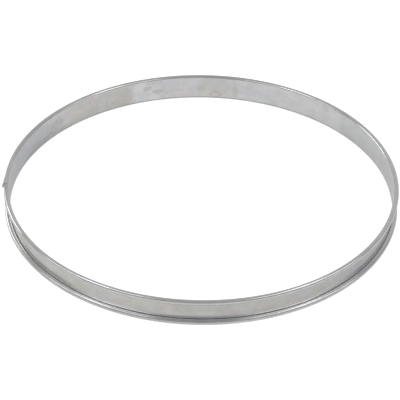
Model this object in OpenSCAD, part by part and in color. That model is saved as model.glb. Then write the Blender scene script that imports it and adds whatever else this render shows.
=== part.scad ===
// Tart ring: one strip of thin sheet steel, bent round and butt welded into a hoop.
// Both long edges of the strip are rolled outward into open curls, so that no cut edge
// is left bare. Millimetres, +Z up. The origin is on the hoop's axis, in the plane that
// the lower curl stands on.

/* [Wall] */
// Inner diameter of the straight wall
inner_d = 280; // [80:10:340]
// Height from the plane it stands on to the top of the upper curl
height = 20.5; // [15:0.5:60]
// Thickness of the sheet
sheet_t = 0.6; // [0.4:0.1:0.8]

/* [Rolled edges] */
// Outside diameter of the upper curl
top_curl_d = 3.8; // [3:0.1:4.4]
// Outside diameter of the lower curl
bottom_curl_d = 3.8; // [3:0.1:4.4]
// Space left between a curl's cut edge and the wall that it closes on
edge_clearance = 0.15; // [0.1:0.05:0.4]

/* [Seam] */
// Direction of the welded seam seen from the axis, in degrees from +X
seam_azimuth = 184; // [0:1:359]
// Space between the two ends of each curl, which aren't welded
seam_gap = 0.5; // [0.2:0.1:1]
// Length of the upper curl that has opened out, up to its end at the seam
sprung_length = 12; // [6:1:20]
// Outside diameter of the upper curl where it has opened most, at that end
sprung_d = 5.2; // [4.6:0.1:5.6]

/* [Hidden] */

// Satin stainless steel
steel = [0.75, 0.75, 0.74];
// Facets of a full turn, round the hoop and round a curl
hoop_fn = 180;
curl_fn = 48;
// Largest angle between two rays of a pie that holds part of a circle, in degrees
pie_step = 60;
// How far a slice of space reaches past the hoop at its top and bottom
slice_margin = 1;
// Length by which neighbouring stretches of the strip run into each other, to be one
lap = sheet_t / 2;

inner_r = inner_d / 2;
top_turn = closed_turn(top_curl_d);
bottom_turn = closed_turn(bottom_curl_d);
lap_angle = arc_to_degrees(lap);
gap_angle = arc_to_degrees(seam_gap);
sprung_angle = arc_to_degrees(sprung_length);
gap_start = seam_azimuth - gap_angle / 2;
gap_end = seam_azimuth + gap_angle / 2;
sprung_start = gap_start - sprung_angle;
// The flat of the wall that the weld joins
weld_bottom = bottom_curl_d / 2;
weld_top = height - sprung_d / 2;
// The upper curl opens in steps so small that each one's sheet meets the next one's over
// at least half its thickness, also at the corner away from the wall's top, where the two
// circles lie furthest apart
sprung_spread = (sprung_d - top_curl_d) * (1 + sqrt(2)) / 2;
sprung_steps = ceil(sprung_spread / (sheet_t / 2));

// How far the sheet turns in a curl that closes on the wall, in degrees
function closed_turn(d) = 180 + acos(2 * (sheet_t + edge_clearance) / d - 1);

// Diameter of the upper curl in one of its opening steps, how far it turns there with the
// same sheet in it as the closed curl, and the direction where the step ends
function opened_d(step) = top_curl_d + (sprung_d - top_curl_d) * step / sprung_steps;
function opened_turn(d) = top_turn * (top_curl_d - sheet_t) / (d - sheet_t);
function step_azimuth(step) = sprung_start + sprung_angle * step / sprung_steps;

// Degrees round the hoop that an arc of this length takes at the inside of the wall
function arc_to_degrees(length) = 360 * length / (PI * inner_d);

// Part of a flat ring, from one angle on to a larger one
module bent_strip(outside_r, from, to) {
    rays = ceil((to - from) / pie_step);
    reach = 2 * outside_r;
    intersection() {
        difference() {
            circle(r = outside_r, $fn = curl_fn);
            circle(r = outside_r - sheet_t, $fn = curl_fn);
        }
        polygon(concat([[0, 0]], [
            for (i = [0 : rays])
                let (a = from + (to - from) * i / rays)
                reach * [cos(a), sin(a)]
        ]));
    }
}

// Upper curl in the plane of radius and height: up off the wall, out and round under
module top_curl_section(d, turn) {
    translate([inner_r + d / 2, height - d / 2])
        bent_strip(d / 2, 180 - turn, 180);
}

// Lower curl: down off the wall, out and round over
module bottom_curl_section() {
    translate([inner_r + bottom_curl_d / 2, bottom_curl_d / 2])
        bent_strip(bottom_curl_d / 2, 180, 180 + bottom_turn);
}

module wall_section(bottom, top) {
    translate([inner_r, bottom])
        square([sheet_t, top - bottom]);
}

// The whole strip seen on edge, with its upper curl at diameter d
module strip_section(d, turn) {
    wall_section(weld_bottom, height - d / 2);
    top_curl_section(d, turn);
    bottom_curl_section();
}

// The slice of space between two directions from the axis, under a quarter turn apart
module slice(from, to) {
    reach = 2 * (inner_r + sprung_d);
    translate([0, 0, -slice_margin])
        linear_extrude(height + 2 * slice_margin)
            polygon([[0, 0], reach * [cos(from), sin(from)], reach * [cos(to), sin(to)]]);
}

module hoop() {
    rotate_extrude($fn = hoop_fn)
        children();
}

module tart_ring() {
    color(steel) {
        difference() {
            hoop() strip_section(top_curl_d, top_turn);
            slice(sprung_start, gap_end);
        }
        for (step = [1 : sprung_steps])
            intersection() {
                hoop() strip_section(opened_d(step), opened_turn(opened_d(step)));
                slice(step_azimuth(step - 1) - lap_angle, step_azimuth(step));
            }
        intersection() {
            hoop() wall_section(weld_bottom, weld_top);
            slice(gap_start - lap_angle, gap_end + lap_angle);
        }
    }
}

tart_ring();
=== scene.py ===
"""A tart ring of satin stainless sheet: one strip with both edges rolled, welded into a hoop."""
import math

import bmesh
import bpy
from mathutils import Matrix, Vector


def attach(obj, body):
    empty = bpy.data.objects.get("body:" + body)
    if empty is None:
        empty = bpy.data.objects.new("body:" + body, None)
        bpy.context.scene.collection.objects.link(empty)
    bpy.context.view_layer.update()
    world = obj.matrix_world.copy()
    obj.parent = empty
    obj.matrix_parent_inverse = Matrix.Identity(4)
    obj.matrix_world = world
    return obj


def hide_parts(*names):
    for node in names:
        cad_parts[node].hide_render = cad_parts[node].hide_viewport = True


MM = 0.001

# The strip, in metres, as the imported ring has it
INNER_RADIUS = 140 * MM
HEIGHT = 20.5 * MM
SHEET = 0.6 * MM
TOP_CURL = 3.8 * MM
BOTTOM_CURL = 3.8 * MM
EDGE_CLEARANCE = 0.15 * MM
SEAM_AZIMUTH = math.radians(184)
SEAM_GAP = 0.5 * MM
SPRUNG_LENGTH = 12 * MM
SPRUNG_CURL = 5.2 * MM

# How finely the strip is drawn: steps round the hoop, along the sprung end, and across
HOOP_STEPS = 480
SPRUNG_STEPS = 12
CURL_STEPS = 24
WALL_STEPS = 6
SAME_PLACE = 0.01 * MM
SHARP_ANGLE = math.radians(40)
# The whole is drawn this much smaller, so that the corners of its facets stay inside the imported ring
DRAWN_SCALE = (0.9999, 0.9999, 0.999)

# The steel: how bright it is, and the marks in its finish. A size says how long, deep and high a mark
# is, and a detail how many finer sizes of it there are
INNER_COLOUR = (0.80, 0.80, 0.80, 1)
OUTER_FACE_COLOUR = (0.89, 0.89, 0.875, 1)
WARM_TINT = (1.0, 0.99, 0.975, 1)
COOL_TINT = (0.98, 0.99, 1.0, 1)
TINT_SIZE = (24 * MM, 6 * MM, 16 * MM)
TINT_DETAIL = 1
# A tint is full where its noise is this far from its middle value
TINT_REACH = 0.2
CLOUD_SIZE = (11 * MM, 4 * MM, 8 * MM)
CLOUD_DETAIL = 3
CLOUD_TONE = 0.28
SPECK_SIZE = (3 * MM, 2 * MM, 3 * MM)
SPECK_DETAIL = 2
SPECK_TONE = 0.20
GRAIN_SIZE = (22 * MM, 0.3 * MM, 0.3 * MM)
GRAIN_DETAIL = 2
GRAIN_TONE = 0.05
WAVE_SIZE = (28 * MM, 9 * MM, 12 * MM)
WAVE_DETAIL = 1
WAVE_RELIEF = 0.03 * MM
GRAIN_RELIEF = 0.001 * MM
ROUGHNESS = 0.16
CLOUD_ROUGHNESS = 0.12
GRAIN_ROUGHNESS = 0.06
# The middle value of a noise texture
NOISE_MIDDLE = 0.5
# Where the inside's finish gives way to the outside's, out of the inner face
OUTSIDE_START = SHEET / 3
OUTSIDE_END = SHEET * 2 / 3

# Stains, and patches of painted shade and painted light, each with its azimuth in degrees, then in
# millimetres the height of its middle, half its length and half its height, then the colour that it
# multiplies the steel by.
# Those on the inside of the wall
INNER_STAINS = [
    (166, 9, 60, 15, (0.89, 0.90, 0.925, 1)),
    (150, 2, 34, 6, (0.88, 0.875, 0.86, 1)),
    (143, 11, 8, 5, (0.92, 0.91, 0.89, 1)),
    (136, 9, 11, 5, (1.05, 1.04, 1.02, 1)),
    (128, 12, 4, 9, (1.02, 0.98, 0.97, 1)),
    (118, 15, 12, 5, (0.96, 0.965, 0.935, 1)),
    (117, 7, 10, 5, (0.985, 0.955, 0.935, 1)),
    (126, 9, 34, 40, (0.955, 0.955, 0.94, 1)),
    (108.3, 9, 13, 40, (1.11, 1.11, 1.11, 1)),
    (97, 9, 15, 40, (1.04, 1.03, 1.055, 1)),
    (88, 3, 60, 5, (1.06, 1.06, 1.05, 1)),
    (108.2, 13, 4, 2.5, (0.82, 0.82, 0.82, 1)),
    (104.8, 9, 5, 2.3, (0.82, 0.82, 0.82, 1)),
    (106, 18, 8, 3, (0.88, 0.88, 0.91, 1)),
    (97, 10, 4, 9, (1.0, 1.0, 0.96, 1)),
    (85.7, 4.3, 5.5, 3.2, (0.84, 0.84, 0.83, 1)),
    (85.7, 4.3, 3.5, 1.8, (1.17, 1.17, 1.17, 1)),
    (84, 12, 22, 10, (0.965, 0.965, 0.95, 1)),
    (79.3, 8, 3, 6, (0.92, 0.915, 0.90, 1)),
    (72, 13, 14, 7, (0.99, 0.985, 1.02, 1)),
    (62, 10, 60, 16, (1.05, 1.05, 1.05, 1)),
    (47, 16, 4, 3, (0.90, 0.90, 0.90, 1)),
    (28, 9, 42, 13, (0.965, 0.985, 0.975, 1)),
    (6, 10, 26, 14, (0.97, 0.975, 1.0, 1)),
]
# Those on the outside of the wall
OUTER_STAINS = [
    (236, 10, 75, 20, (1.06, 1.06, 1.05, 1)),
    (218, 13, 22, 9, (1.05, 1.045, 1.065, 1)),
    (233, 12, 13, 6, (1.01, 1.015, 0.985, 1)),
    (247, 9, 7, 4, (1.02, 0.975, 0.965, 1)),
    (252, 13, 11, 5, (0.985, 0.99, 0.965, 1)),
    (260, 12, 9, 5, (1.015, 0.975, 0.965, 1)),
    (268, 13, 14, 8, (0.975, 0.985, 0.955, 1)),
    (272, 7, 12, 4, (1.025, 1.015, 1.04, 1)),
    (277.5, 14, 7, 4, (0.96, 0.98, 0.96, 1)),
    (278.5, 7, 7, 3, (0.985, 0.935, 0.955, 1)),
    (288, 9, 9, 4, (1.02, 0.98, 0.965, 1)),
    (293, 13, 12, 5, (0.98, 0.99, 0.965, 1)),
    (297, 7, 8, 4, (1.01, 0.975, 0.96, 1)),
    (307, 11, 14, 6, (1.01, 1.0, 0.97, 1)),
    (326, 12, 20, 9, (0.965, 0.97, 1.0, 1)),
]
# Those on the crest of the upper curl
TOP_CURL_STAINS = [
    (157, 19.8, 45, 2.5, (0.90, 0.90, 0.91, 1)),
]
# Painted shade on the outer side of the upper curl, dimming a highlight there
TOP_CURL_OUTER_PAINTED_SHADE = [
    (188, 19.2, 24, 4, (0.66, 0.66, 0.66, 1)),
]
# Painted dark reflections on the upper side of the lower curl
LOW_CURL_PAINTED_REFLECTIONS = [
    (207, 3.2, 62, 4, (0.75, 0.76, 0.74, 1)),
    (270, 3.2, 54, 4, (0.57, 0.57, 0.59, 1)),
    (330, 3.2, 58, 4, (0.65, 0.655, 0.665, 1)),
]
# Painted shade and painted light in the crease over the lower curl: darker at 202°, lighter elsewhere
CREASE_PAINTED_LIGHT_AND_SHADE = [
    (202, 4.0, 34, 2.8, (0.85, 0.855, 0.84, 1)),
    (216, 3.6, 50, 2, (1.09, 1.095, 1.075, 1)),
    (270, 3.6, 50, 1.8, (1.11, 1.11, 1.12, 1)),
    (330, 3.6, 56, 1.8, (1.07, 1.07, 1.08, 1)),
]
# Painted reflections on the wall close over the crease: dark lenses of the mirrored curl and its shade,
# and light lines of its mirrored highlight
CREASE_WALL_PAINTED_REFLECTIONS = [
    (218, 6.7, 50, 2.8, (0.73, 0.735, 0.72, 1)),
    (224, 6.3, 32, 2.2, (0.86, 0.86, 0.855, 1)),
    (232, 4.9, 42, 1.2, (0.62, 0.62, 0.62, 1)),
    (244, 5.6, 26, 1.1, (1.22, 1.22, 1.22, 1)),
    (235, 6.5, 20, 1.1, (1.15, 1.15, 1.15, 1)),
    (270, 5.1, 46, 1.3, (0.64, 0.64, 0.65, 1)),
    (270, 8.2, 38, 1.6, (1.06, 1.06, 1.06, 1)),
    (308, 4.9, 50, 1.2, (0.67, 0.67, 0.67, 1)),
    (299, 5.9, 28, 1.1, (1.12, 1.12, 1.12, 1)),
    (309, 6.4, 24, 1.1, (1.14, 1.14, 1.14, 1)),
    (320, 5.8, 34, 1.9, (0.84, 0.84, 0.85, 1)),
    (328, 6.8, 46, 2.6, (0.82, 0.82, 0.83, 1)),
]
# Each list with how deep in the ring its patches lie, out of the inner face, half their depth, and what
# share of the way from middle to rim is at full strength. The stains and painted shade of these layers
# have uneven rims
STAIN_AND_PAINTED_SHADE_LAYERS = [
    (0, 0.4 * MM, 0.75, INNER_STAINS),
    (SHEET, 0.4 * MM, 0.75, OUTER_STAINS),
    (1.0 * MM, 1.7 * MM, 0.6, TOP_CURL_STAINS),
    (3.4 * MM, 1.6 * MM, 0.5, TOP_CURL_OUTER_PAINTED_SHADE),
    (1.8 * MM, 2.4 * MM, 0.25, LOW_CURL_PAINTED_REFLECTIONS),
]
# The painted shade and painted reflections of these layers have even rims, and lie over the crease's
# painted light
PAINTED_CREASE_LAYERS = [
    (1.3 * MM, 3.0 * MM, 0.2, CREASE_PAINTED_LIGHT_AND_SHADE),
    (SHEET, 0.5 * MM, 0.3, CREASE_WALL_PAINTED_REFLECTIONS),
]
# How far an uneven rim strays, and the size of its waves
STAIN_RIPPLE = 4 * MM
STAIN_RIPPLE_SIZE = 7 * MM
# Painted shade on the inside, along the line where the lower curl rolls under
FOOT_HEIGHT = 2.15 * MM
FOOT_DEPTH = 1.6 * MM
FOOT_PAINTED_SHADE = (0.72, 0.72, 0.72, 1)
# Painted light: the crease over the lower curl is drawn brighter, lifting the shade and dark reflections
# in it: between these heights, and gone this far beyond them
CREASE_LOW = 3.8 * MM
CREASE_HIGH = 5.6 * MM
CREASE_EDGE = 0.3 * MM
CREASE_PAINTED_LIGHT = (0.90, 0.90, 0.91, 1)

# The butt weld: a ground, slightly dull line with a faint heat tint on both sides
WELD_LENGTH = 0.7 * MM
WELD_TINT = (0.86, 0.86, 0.86, 1)
WELD_ROUGHNESS = 0.12
HEAT_LENGTH = 7 * MM
HEAT_TINT = (0.99, 0.985, 0.98, 1)

# The camera of the photograph
CAMERA_PLACE = Vector((0, -1.05997, 0.76477))
CAMERA_AIM = Vector((-0.00088, -0.00469, 0.00395))
CAMERA_ROLL = math.radians(0.637)
PICTURE_SIZE = 400
FOCAL_PIXELS = 1774.94
SENSOR_WIDTH = 36

FLOOR_SIZE = 6.0
FLOOR_DROP = 0.05 * MM
FLOOR_COLOUR = (0.96, 0.96, 0.96, 1)
FLOOR_ROUGHNESS = 0.9
# The floor glows a little, and to the camera more, so that it is plain white in the picture
FLOOR_GLOW = 0.15
FLOOR_SEEN_GLOW = 0.75

WORLD_COLOUR = (1, 1, 1, 1)
WORLD_STRENGTH = 0.37
# The surroundings behind the ring are a little brighter, as a white backdrop is
BACKDROP_STRENGTH = 0.53

# A long strip light leans over each side: its far end low beside the ring, its near end high in front
STRIP_LOW = Vector((1.01, 0.03, 0.54))
STRIP_HIGH = Vector((0.36, -0.58, 0.93))
STRIP_WIDTH = 0.28
STRIP_POWER = 0.85

# A small soft box hangs over each side
SIDE_BOX_PLACE = Vector((0.59, -0.10, 0.92))
SIDE_BOX_SIZE = (0.22, 0.22)
SIDE_BOX_POWER = 0.29

# A shorter strip light stands beyond the left one's low end, lower down and round to the back
BACK_STRIP_LOW = Vector((-0.79, 0.74, 0.16))
BACK_STRIP_HIGH = Vector((-0.95, 0.33, 0.41))
BACK_STRIP_WIDTH = 0.2
BACK_STRIP_POWER = 0.76


def start_sheet(name):
    """A new object with an empty mesh, in edit mode."""
    bpy.ops.object.select_all(action="DESELECT")
    bpy.ops.mesh.primitive_plane_add(size=SHEET)
    sheet = bpy.context.object
    sheet.name = sheet.data.name = name
    bpy.ops.object.mode_set(mode="EDIT")
    bpy.ops.mesh.delete(type="VERT")
    return sheet


def select_vertices(sheet, wanted):
    """Selects the vertices that a test on their place names, with the edges between them."""
    work = bmesh.from_edit_mesh(sheet.data)
    for vertex in work.verts:
        vertex.select = wanted(vertex.co)
    work.select_mode = {"VERT"}
    work.select_flush_mode()
    bmesh.update_edit_mesh(sheet.data)


def outward(azimuth):
    """The direction away from the hoop's axis."""
    return Vector((math.cos(azimuth), math.sin(azimuth), 0))


def at(azimuth, radius, height):
    """A point by its azimuth, its distance from the axis and its height."""
    return outward(azimuth) * radius + Vector((0, 0, height))


def azimuth_of(place):
    """The azimuth of a point, from 0 to a full turn."""
    return math.atan2(place.y, place.x) % math.tau


def curl_up(sheet, azimuth, foot, curl, turn):
    """Turns the strip's end at foot into a curl of that outer diameter, outward and round."""
    select_vertices(sheet, lambda place: (place - foot).length < SAME_PLACE)
    axis = outward(azimuth).cross(Vector((0, 0, 1)))
    centre = foot + outward(azimuth) * (curl - SHEET) / 2
    bpy.ops.mesh.spin(steps=CURL_STEPS, angle=turn, center=centre, axis=axis)


def closed_turn(curl):
    """How far the sheet turns in a curl of that diameter that closes on the wall."""
    return math.pi + math.acos(2 * (SHEET + EDGE_CLEARANCE) / curl - 1)


def draw_section(sheet, azimuth, top_curl):
    """Draws the strip's middle line across the strip at one azimuth: wall, lower curl, upper curl."""
    turn = closed_turn(TOP_CURL) * (TOP_CURL - SHEET) / (top_curl - SHEET)
    middle = INNER_RADIUS + SHEET / 2
    low = at(azimuth, middle, BOTTOM_CURL / 2)
    high = at(azimuth, middle, HEIGHT - top_curl / 2)
    bpy.ops.mesh.select_all(action="DESELECT")
    bpy.ops.mesh.primitive_plane_add(size=SHEET, location=low)
    bpy.ops.mesh.merge(type="CENTER")
    for i in range(WALL_STEPS):
        bpy.ops.mesh.extrude_vertices_move(TRANSFORM_OT_translate={"value": (high - low) / WALL_STEPS})
    curl_up(sheet, azimuth, high, top_curl, turn)
    curl_up(sheet, azimuth, low, BOTTOM_CURL, -closed_turn(BOTTOM_CURL))


def select_sections(sheet, azimuths, wanted):
    """Selects the strip's cross lines at the given azimuths, where a test names them."""
    slack = SAME_PLACE / INNER_RADIUS

    def chosen(place):
        near = any(abs(azimuth_of(place) - azimuth % math.tau) < slack for azimuth in azimuths)
        return near and wanted(place)

    select_vertices(sheet, chosen)


def on_wall(place):
    """Whether a point lies on the straight wall, its ends included."""
    radius = math.hypot(place.x, place.y)
    return abs(radius - INNER_RADIUS - SHEET / 2) < SAME_PLACE


def anywhere(place):
    """Every point."""
    return True


def bend_ring():
    """The ring: a strip with curled edges, bent round and butt welded, one curl end sprung open."""
    gap = SEAM_GAP / INNER_RADIUS / 2
    start = SEAM_AZIMUTH + gap
    end = SEAM_AZIMUTH - gap
    sprung = end - SPRUNG_LENGTH / INNER_RADIUS
    sheet = start_sheet("satin_tart_ring")
    draw_section(sheet, start, TOP_CURL)
    sections = [sprung + (end - sprung) * i / SPRUNG_STEPS for i in range(SPRUNG_STEPS + 1)]
    for i in range(SPRUNG_STEPS + 1):
        draw_section(sheet, sections[i], TOP_CURL + (SPRUNG_CURL - TOP_CURL) * i / SPRUNG_STEPS)
    for i in range(SPRUNG_STEPS):
        select_sections(sheet, sections[i:i + 2], anywhere)
        bpy.ops.mesh.bridge_edge_loops()
    select_sections(sheet, [end, start], on_wall)
    bpy.ops.mesh.bridge_edge_loops()
    select_sections(sheet, [start], anywhere)
    turn = math.tau - start + sprung
    bpy.ops.mesh.spin(steps=HOOP_STEPS, angle=turn, center=(0, 0, 0), axis=(0, 0, -1))
    bpy.ops.mesh.select_all(action="SELECT")
    bpy.ops.mesh.remove_doubles(threshold=SAME_PLACE)
    bpy.ops.mesh.normals_make_consistent(inside=False)
    bpy.ops.transform.resize(value=DRAWN_SCALE, center_override=(0, 0, HEIGHT / 2))
    bpy.ops.object.mode_set(mode="OBJECT")
    thickness = sheet.modifiers.new("sheet thickness", "SOLIDIFY")
    thickness.thickness = SHEET
    thickness.offset = 0
    thickness.use_even_offset = True
    bpy.ops.object.modifier_apply(modifier=thickness.name)
    bpy.ops.object.shade_smooth_by_angle(angle=SHARP_ANGLE)
    return sheet


def feed(tree, socket, value):
    """Links a socket to another one, or sets it to a plain value."""
    if isinstance(value, bpy.types.NodeSocket):
        tree.links.new(value, socket)
    else:
        socket.default_value = value


def calc(tree, operation, *values):
    """One step of arithmetic on sockets and plain numbers."""
    step = tree.nodes.new("ShaderNodeMath")
    step.operation = operation
    for socket, value in zip(step.inputs, values):
        feed(tree, socket, value)
    return step.outputs["Value"]


def move(tree, operation, place, vector):
    """One step of arithmetic on a place and a plain vector."""
    step = tree.nodes.new("ShaderNodeVectorMath")
    step.operation = operation
    tree.links.new(place, step.inputs[0])
    step.inputs[1].default_value = vector
    return step


def fade(tree, value, start, end, low, high):
    """A smooth step of value, from low at start to high at end."""
    step = tree.nodes.new("ShaderNodeMapRange")
    step.interpolation_type = "SMOOTHSTEP"
    sockets = ("Value", "From Min", "From Max", "To Min", "To Max")
    for name, given in zip(sockets, (value, start, end, low, high)):
        feed(tree, step.inputs[name], given)
    return step.outputs["Result"]


def noise(tree, place, size, detail):
    """Noise about zero, its marks as long, deep and high as size says."""
    cells = move(tree, "MULTIPLY", place, (1 / size[0], 1 / size[1], 1 / size[2]))
    texture = tree.nodes.new("ShaderNodeTexNoise")
    texture.inputs["Scale"].default_value = 1
    texture.inputs["Detail"].default_value = detail
    tree.links.new(cells.outputs["Vector"], texture.inputs["Vector"])
    return calc(tree, "SUBTRACT", texture.outputs["Fac"], NOISE_MIDDLE)


def dye(tree, amount, under, colour, way="MULTIPLY"):
    """Multiplies a colour by another one, or mixes it in, where and as far as amount says."""
    mix = tree.nodes.new("ShaderNodeMix")
    mix.data_type = "RGBA"
    mix.blend_type = way
    for name, value in (("Factor_Float", amount), ("A_Color", under), ("B_Color", colour)):
        feed(tree, next(socket for socket in mix.inputs if socket.identifier == name), value)
    return next(socket for socket in mix.outputs if socket.identifier == "Result_Color")


def along_strip(azimuth):
    """How far along the flat strip an azimuth in degrees lies, from the side opposite the seam."""
    turned = math.radians(azimuth) - SEAM_AZIMUTH
    return (turned % math.tau - math.pi) * INNER_RADIUS


def strip_place(tree):
    """A point's place on the strip before it was bent: along it, out of its inner face, up it."""
    point = tree.nodes.new("ShaderNodeTexCoord")
    turned = tree.nodes.new("ShaderNodeVectorRotate")
    turned.rotation_type = "Z_AXIS"
    turned.inputs["Angle"].default_value = math.pi - SEAM_AZIMUTH
    parts = tree.nodes.new("ShaderNodeSeparateXYZ")
    tree.links.new(point.outputs["Object"], turned.inputs["Vector"])
    tree.links.new(turned.outputs["Vector"], parts.inputs["Vector"])
    x, y = parts.outputs["X"], parts.outputs["Y"]
    along = calc(tree, "MULTIPLY", calc(tree, "ARCTAN2", y, x), INNER_RADIUS)
    squares = calc(tree, "ADD", calc(tree, "MULTIPLY", x, x), calc(tree, "MULTIPLY", y, y))
    radius = calc(tree, "SQRT", squares)
    place = tree.nodes.new("ShaderNodeCombineXYZ")
    sockets = (along, calc(tree, "SUBTRACT", radius, INNER_RADIUS), parts.outputs["Z"])
    for socket, value in zip(place.inputs, sockets):
        tree.links.new(value, socket)
    return place.outputs["Vector"], sockets


def uneven(tree, place):
    """The place pushed about a little along the strip and up it, which gives a stain an uneven rim."""
    waves = tree.nodes.new("ShaderNodeTexNoise")
    waves.inputs["Scale"].default_value = 1 / STAIN_RIPPLE_SIZE
    tree.links.new(place, waves.inputs["Vector"])
    pushed = tree.nodes.new("ShaderNodeVectorMath")
    pushed.operation = "MULTIPLY_ADD"
    tree.links.new(waves.outputs["Color"], pushed.inputs[0])
    pushed.inputs[1].default_value = (STAIN_RIPPLE, 0, STAIN_RIPPLE)
    tree.links.new(place, pushed.inputs[2])
    middle = (STAIN_RIPPLE * NOISE_MIDDLE, 0, STAIN_RIPPLE * NOISE_MIDDLE)
    return move(tree, "SUBTRACT", pushed.outputs["Vector"], middle).outputs["Vector"]


def with_stains_and_painted_light(tree, place, colour, layers):
    """The colour with the stains, painted shade and painted light of the layers on it, each full in its
    middle and gone at its rim.
    """
    for depth, half_depth, full, marks in layers:
        for azimuth, height, half_length, half_height, tint in marks:
            middle = (along_strip(azimuth), depth, height * MM)
            size = (1 / (half_length * MM), 1 / half_depth, 1 / (half_height * MM))
            offset = move(tree, "SUBTRACT", place, middle).outputs["Vector"]
            offset = move(tree, "MULTIPLY", offset, size).outputs["Vector"]
            distance = move(tree, "LENGTH", offset, (0, 0, 0)).outputs["Value"]
            colour = dye(tree, fade(tree, distance, full, 1, 1, 0), colour, tint)
    return colour


def wall_outside(tree, depth, height):
    """How far a place lies out of the inner face's finish, and on the wall's outside, from 0 to 1."""
    outside = fade(tree, depth, OUTSIDE_START, OUTSIDE_END, 0, 1)
    above = fade(tree, height, BOTTOM_CURL - SHEET, BOTTOM_CURL, 0, 1)
    below = fade(tree, height, HEIGHT - TOP_CURL, HEIGHT - TOP_CURL + SHEET, 1, 0)
    return outside, calc(tree, "MULTIPLY", outside, calc(tree, "MULTIPLY", above, below))


def in_crease(tree, outside, height):
    """How far a place lies in the crease over the lower curl, from 0 to 1."""
    above = fade(tree, height, CREASE_LOW - CREASE_EDGE, CREASE_LOW, 0, 1)
    below = fade(tree, height, CREASE_HIGH, CREASE_HIGH + CREASE_EDGE, 1, 0)
    return calc(tree, "MULTIPLY", calc(tree, "MULTIPLY", above, below), outside)


def at_foot(tree, depth, height):
    """How far a place lies on the line where the lower curl rolls under inside, from 0 to 1."""
    low = fade(tree, height, FOOT_HEIGHT - SHEET, FOOT_HEIGHT, 1, 0)
    shallow = fade(tree, depth, FOOT_DEPTH - SHEET, FOOT_DEPTH, 1, 0)
    return calc(tree, "MULTIPLY", low, shallow)


def satin_stainless():
    """Satin stainless sheet: rolling grain, cloudy handling marks, stains and a ground weld, with
    painted shade, painted light and painted reflections round the curls and the crease.
    """
    steel = bpy.data.materials.new("satin_stainless")
    steel.use_nodes = True
    tree = steel.node_tree
    shader = tree.nodes["Principled BSDF"]
    shader.inputs["Metallic"].default_value = 1
    place, (along, depth, height) = strip_place(tree)
    outside, outer_face = wall_outside(tree, depth, height)
    crease = in_crease(tree, outside, height)
    tints = noise(tree, place, TINT_SIZE, TINT_DETAIL)
    clouds = noise(tree, place, CLOUD_SIZE, CLOUD_DETAIL)
    specks = noise(tree, place, SPECK_SIZE, SPECK_DETAIL)
    grain = noise(tree, place, GRAIN_SIZE, GRAIN_DETAIL)
    waves = noise(tree, place, WAVE_SIZE, WAVE_DETAIL)
    seam = calc(tree, "ABSOLUTE", along)
    end = math.pi * INNER_RADIUS
    heat = fade(tree, seam, end - HEAT_LENGTH, end, 0, 1)
    weld = fade(tree, seam, end - WELD_LENGTH, end - WELD_LENGTH / 2, 0, 1)

    colour = dye(tree, outer_face, INNER_COLOUR, OUTER_FACE_COLOUR)
    colour = dye(tree, fade(tree, tints, 0, TINT_REACH, 0, 1), colour, WARM_TINT)
    colour = dye(tree, fade(tree, tints, 0, -TINT_REACH, 0, 1), colour, COOL_TINT)
    # Stains, and painted shade and painted reflections on the curls
    colour = with_stains_and_painted_light(tree, uneven(tree, place), colour, STAIN_AND_PAINTED_SHADE_LAYERS)
    # Painted shade along the inside foot, where the lower curl rolls under
    colour = dye(tree, at_foot(tree, depth, height), colour, FOOT_PAINTED_SHADE)
    # Painted light: the crease over the lower curl is lightened
    colour = dye(tree, crease, colour, CREASE_PAINTED_LIGHT, "MIX")
    # Painted shade, painted light and painted reflections in the crease and on the wall over it
    colour = with_stains_and_painted_light(tree, place, colour, PAINTED_CREASE_LAYERS)
    colour = dye(tree, heat, colour, HEAT_TINT)
    colour = dye(tree, weld, colour, WELD_TINT)

    # The clouds, specks and grain brighten and darken the colour, apart from in the crease
    tone = calc(tree, "MULTIPLY", clouds, CLOUD_TONE)
    tone = calc(tree, "MULTIPLY_ADD", specks, SPECK_TONE, tone)
    tone = calc(tree, "MULTIPLY_ADD", grain, GRAIN_TONE, tone)
    tone = calc(tree, "MULTIPLY_ADD", tone, calc(tree, "SUBTRACT", 1, crease), 1)
    toned = tree.nodes.new("ShaderNodeVectorMath")
    toned.operation = "SCALE"
    tree.links.new(colour, toned.inputs[0])
    tree.links.new(tone, toned.inputs["Scale"])
    tree.links.new(toned.outputs["Vector"], shader.inputs["Base Color"])

    rough = calc(tree, "MULTIPLY_ADD", clouds, CLOUD_ROUGHNESS, ROUGHNESS)
    rough = calc(tree, "MULTIPLY_ADD", grain, GRAIN_ROUGHNESS, rough)
    rough = calc(tree, "MULTIPLY_ADD", weld, WELD_ROUGHNESS, rough)
    tree.links.new(rough, shader.inputs["Roughness"])

    relief = calc(tree, "MULTIPLY", waves, WAVE_RELIEF)
    relief = calc(tree, "MULTIPLY_ADD", grain, GRAIN_RELIEF, relief)
    bump = tree.nodes.new("ShaderNodeBump")
    bump.inputs["Distance"].default_value = 1
    tree.links.new(relief, bump.inputs["Height"])
    tree.links.new(bump.outputs["Normal"], shader.inputs["Normal"])
    return steel


def floor():
    """The plain pale floor."""
    bpy.ops.object.select_all(action="DESELECT")
    bpy.ops.mesh.primitive_plane_add(size=FLOOR_SIZE, location=(0, 0, -FLOOR_DROP))
    ground = bpy.context.object
    ground.name = "floor"
    paper = bpy.data.materials.new("white_paper")
    paper.use_nodes = True
    shader = paper.node_tree.nodes["Principled BSDF"]
    shader.inputs["Base Color"].default_value = FLOOR_COLOUR
    shader.inputs["Roughness"].default_value = FLOOR_ROUGHNESS
    shader.inputs["Specular IOR Level"].default_value = 0
    shader.inputs["Emission Color"].default_value = FLOOR_COLOUR
    seen = paper.node_tree.nodes.new("ShaderNodeLightPath")
    glow = fade(paper.node_tree, seen.outputs["Is Camera Ray"], 0, 1, FLOOR_GLOW, FLOOR_SEEN_GLOW)
    paper.node_tree.links.new(glow, shader.inputs["Emission Strength"])
    ground.data.materials.append(paper)


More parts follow.
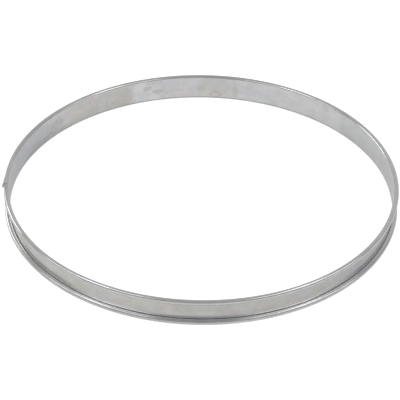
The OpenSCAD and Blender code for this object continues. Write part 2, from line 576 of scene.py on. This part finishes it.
def soft_light(name, place, along, size, power):
    """A soft light of that size, its long side along a direction, facing the ring's middle."""
    bpy.ops.object.light_add(type="AREA", location=place)
    light = bpy.context.object
    light.name = name
    light.data.shape = "RECTANGLE"
    light.data.size, light.data.size_y = size
    light.data.energy = power
    light.visible_camera = False
    facing = place.normalized()
    along = (along - facing * along.dot(facing)).normalized()
    turned = Matrix((along.cross(facing), along, facing)).transposed()
    light.rotation_euler = turned.to_euler()


def side_lights(name, side):
    """The strip light and the small box over the left (-1) or the right (1) of the ring."""
    mirror = Matrix.Diagonal((side, 1, 1))
    low, high = mirror @ STRIP_LOW, mirror @ STRIP_HIGH
    size = (STRIP_WIDTH, (high - low).length)
    soft_light(name + "_strip_light", (low + high) / 2, high - low, size, STRIP_POWER)
    soft_light(name + "_side_box", mirror @ SIDE_BOX_PLACE, high - low, SIDE_BOX_SIZE, SIDE_BOX_POWER)


def studio():
    """Pale surroundings, brighter at the back, two lights over each side and a low one at the back."""
    world = bpy.context.scene.world or bpy.data.worlds.new("studio")
    bpy.context.scene.world = world
    world.use_nodes = True
    nodes = world.node_tree.nodes
    links = world.node_tree.links
    backdrop = nodes["Background"]
    backdrop.inputs["Color"].default_value = WORLD_COLOUR
    direction = nodes.new("ShaderNodeTexCoord")
    parts = nodes.new("ShaderNodeSeparateXYZ")
    behind = nodes.new("ShaderNodeMapRange")
    behind.inputs["To Min"].default_value = WORLD_STRENGTH
    behind.inputs["To Max"].default_value = BACKDROP_STRENGTH
    links.new(direction.outputs["Generated"], parts.inputs["Vector"])
    links.new(parts.outputs["Y"], behind.inputs["Value"])
    links.new(behind.outputs["Result"], backdrop.inputs["Strength"])
    side_lights("left", -1)
    side_lights("right", 1)
    along = BACK_STRIP_HIGH - BACK_STRIP_LOW
    size = (BACK_STRIP_WIDTH, along.length)
    soft_light("back_strip_light", BACK_STRIP_LOW + along / 2, along, size, BACK_STRIP_POWER)
    bpy.context.scene.view_settings.view_transform = "Standard"


def camera():
    """The photograph's camera: in front of the ring, above it, looking down at its middle."""
    bpy.ops.object.camera_add(location=CAMERA_PLACE)
    eye = bpy.context.object
    eye.name = "camera"
    behind = (CAMERA_PLACE - CAMERA_AIM).normalized()
    right = Vector((0, 0, 1)).cross(behind).normalized()
    upright = Matrix((right, behind.cross(right), behind)).transposed()
    turned = upright @ Matrix.Rotation(CAMERA_ROLL, 3, "Z")
    eye.rotation_euler = turned.to_euler()
    eye.data.sensor_width = SENSOR_WIDTH
    eye.data.lens = FOCAL_PIXELS * SENSOR_WIDTH / PICTURE_SIZE
    bpy.context.scene.camera = eye


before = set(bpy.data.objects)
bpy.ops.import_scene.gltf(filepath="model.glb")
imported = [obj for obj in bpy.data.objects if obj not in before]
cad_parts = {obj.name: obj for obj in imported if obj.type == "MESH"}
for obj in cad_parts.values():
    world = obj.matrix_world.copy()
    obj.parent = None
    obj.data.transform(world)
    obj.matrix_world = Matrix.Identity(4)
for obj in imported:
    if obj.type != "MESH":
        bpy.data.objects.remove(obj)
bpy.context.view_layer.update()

camera()
floor()
studio()

ring = bend_ring()
ring.data.materials.append(satin_stainless())
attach(ring, "root")
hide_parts("tart_ring")
